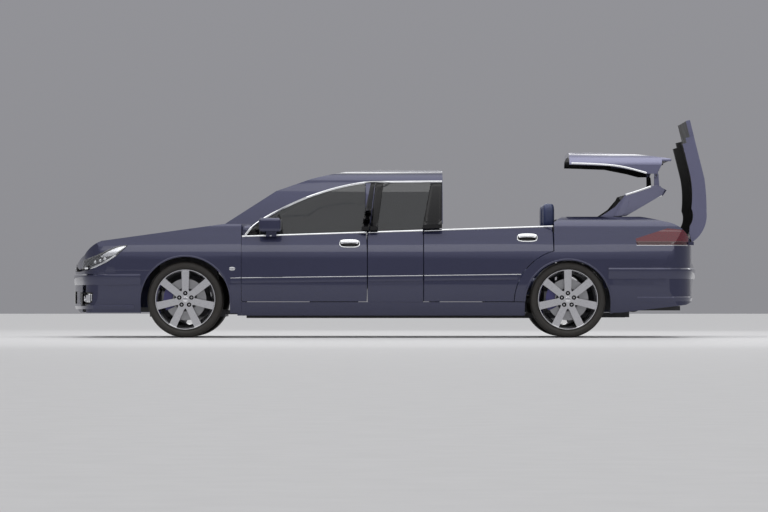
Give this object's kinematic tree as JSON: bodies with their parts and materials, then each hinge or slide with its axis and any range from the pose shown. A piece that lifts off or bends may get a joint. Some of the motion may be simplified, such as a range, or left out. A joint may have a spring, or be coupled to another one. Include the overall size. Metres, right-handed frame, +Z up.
{
  "type": "landaulet",
  "caption": "Long-wheelbase landaulet with a closed front cabin, side-hinged doors, an open rear compartment and a hard rear roof that folds under a rear-hinged lid.",
  "frame": {"origin": "on the ground, under the middle of the car's box", "axes": "+X rearwards, +Y to the car's right, +Z up"},
  "size_m": [5.5304, 2.06, 1.8983],
  "materials": {
    "body_paint": "metallic midnight blue with a violet tint, gloss clear coat",
    "grille_black": "black slats",
    "lamp_clear": "clear lamp cover over bright reflectors",
    "lamp_red": "deep red lamp lens",
    "glass": "grey tinted glass",
    "trim": "dark blue carpet and trim",
    "dash_plastic": "soft black moulding",
    "leather": "navy leather",
    "cast_metal": "cast metal",
    "chassis_steel": "dark coated steel",
    "wheel_alloy": "brushed and lacquered alloy",
    "tyre": "black rubber"
  },
  "bodies": {
    "root": {"floor_pan": "trim", "sills": "body_paint", "front_wings": "body_paint", "rear_quarters": "body_paint", "mid_panels": "body_paint", "front_roof": "body_paint", "windscreen": "glass", "mid_windows": "glass", "partition": "trim", "front_bumper": "body_paint", "grille": "grille_black", "headlamps": "lamp_clear", "fog_lamps": "lamp_clear", "rear_bumper": "body_paint", "tail_lamps": "lamp_red", "rear_panel": "body_paint", "dashboard": "dash_plastic", "steering_wheel": "dash_plastic", "front_seats": "leather", "rear_seat": "leather", "rear_deck": "trim", "engine_block": "cast_metal", "fuel_tank": "dash_plastic", "exhaust": "chassis_steel", "front_subframe": "chassis_steel", "rear_axle": "chassis_steel"},
    "bonnet": {"bonnet": "body_paint"},
    "door_front_left": {"door_front_left": "body_paint", "front_glass_left": "glass"},
    "door_front_right": {"door_front_right": "body_paint", "front_glass_right": "glass"},
    "door_rear_left": {"door_rear_left": "body_paint"},
    "door_rear_right": {"door_rear_right": "body_paint"},
    "knuckle_left": {"knuckle_left": "cast_metal"},
    "knuckle_right": {"knuckle_right": "cast_metal"},
    "roof_quadrants": {"roof_quadrants": "chassis_steel"},
    "rear_shell": {"rear_shell": "body_paint", "rear_window": "glass"},
    "roof_links": {"roof_links": "chassis_steel"},
    "roof_panel": {"roof_panel": "body_paint"},
    "boot_lid": {"boot_lid": "body_paint"},
    "wheel_front_left": {"rim_front_left": "wheel_alloy", "tyre_front_left": "tyre"},
    "wheel_front_right": {"rim_front_right": "wheel_alloy", "tyre_front_right": "tyre"},
    "wheel_rear_left": {"rim_rear_left": "wheel_alloy", "tyre_rear_left": "tyre"},
    "wheel_rear_right": {"rim_rear_right": "wheel_alloy", "tyre_rear_right": "tyre"}
  },
  "joints": [
    {"name": "bonnet_lift", "type": "hinge", "parent": "root", "child": "bonnet", "pos_m": [-1.44725, 0, 0.97], "axis": [0, 1, 0], "range_deg": [0, 50]},
    {"name": "door_front_left_swing", "type": "hinge", "parent": "root", "child": "door_front_left", "pos_m": [-1.27425, -0.918, 0.6], "axis": [0, 0, -1], "range_deg": [0, 65]},
    {"name": "door_front_right_swing", "type": "hinge", "parent": "root", "child": "door_front_right", "pos_m": [-1.27425, 0.918, 0.6], "axis": [0, 0, 1], "range_deg": [0, 65]},
    {"name": "door_rear_left_swing", "type": "hinge", "parent": "root", "child": "door_rear_left", "pos_m": [0.30475, -0.918, 0.6], "axis": [0, 0, -1], "range_deg": [0, 65]},
    {"name": "door_rear_right_swing", "type": "hinge", "parent": "root", "child": "door_rear_right", "pos_m": [0.30475, 0.918, 0.6], "axis": [0, 0, 1], "range_deg": [0, 65]},
    {"name": "steer", "type": "hinge", "parent": "root", "child": "knuckle_left", "pos_m": [-1.76125, -0.7, 0.33], "axis": [0, 0, 1], "range_deg": [-33, 33]},
    {"name": "steer_right", "type": "hinge", "parent": "root", "child": "knuckle_right", "pos_m": [-1.76125, 0.7, 0.33], "axis": [0, 0, 1], "range_deg": [-33, 33]},
    {"name": "wheel_front_left_spin", "type": "hinge", "parent": "knuckle_left", "child": "wheel_front_left", "pos_m": [-1.76125, -0.768, 0.33], "axis": [0, 1, 0], "continuous": true},
    {"name": "wheel_front_right_spin", "type": "hinge", "parent": "knuckle_right", "child": "wheel_front_right", "pos_m": [-1.76125, 0.768, 0.33], "axis": [0, 1, 0], "continuous": true},
    {"name": "wheel_rear_left_spin", "type": "hinge", "parent": "root", "child": "wheel_rear_left", "pos_m": [1.55075, -0.768, 0.33], "axis": [0, 1, 0], "continuous": true},
    {"name": "wheel_rear_right_spin", "type": "hinge", "parent": "root", "child": "wheel_rear_right", "pos_m": [1.55075, 0.768, 0.33], "axis": [0, 1, 0], "continuous": true},
    {"name": "roof_stow", "type": "hinge", "parent": "root", "child": "roof_quadrants", "pos_m": [1.83075, 0, 0.99], "axis": [0, 1, 0], "range_deg": [0, 58]},
    {"name": "roof_raise", "type": "hinge", "parent": "roof_quadrants", "child": "rear_shell", "pos_m": [1.83075, 0, 0.99], "axis": [0, 1, 0], "range_deg": [-116, 0]},
    {"name": "link_level", "type": "hinge", "parent": "rear_shell", "child": "roof_links", "pos_m": [2.33175, 0, 1.411], "axis": [0, 1, 0], "range_deg": [-58, 0]},
    {"name": "panel_level", "type": "hinge", "parent": "roof_links", "child": "roof_panel", "pos_m": [2.33175, 0, 1.411], "axis": [0, 1, 0], "range_deg": [0, 116]},
    {"name": "lid_swing", "type": "hinge", "parent": "root", "child": "boot_lid", "pos_m": [2.63675, 0, 0.816], "axis": [0, 1, 0], "range_deg": [-76, 0]}
  ],
  "couplings": [
    {"joint": "steer_right", "follows": "steer", "ratio": 1},
    {"joint": "link_level", "follows": "roof_stow", "ratio": -1},
    {"joint": "panel_level", "follows": "roof_raise", "ratio": -1},
    {"joint": "lid_swing", "follows": "roof_raise", "ratio": 0.65517}
  ]
}
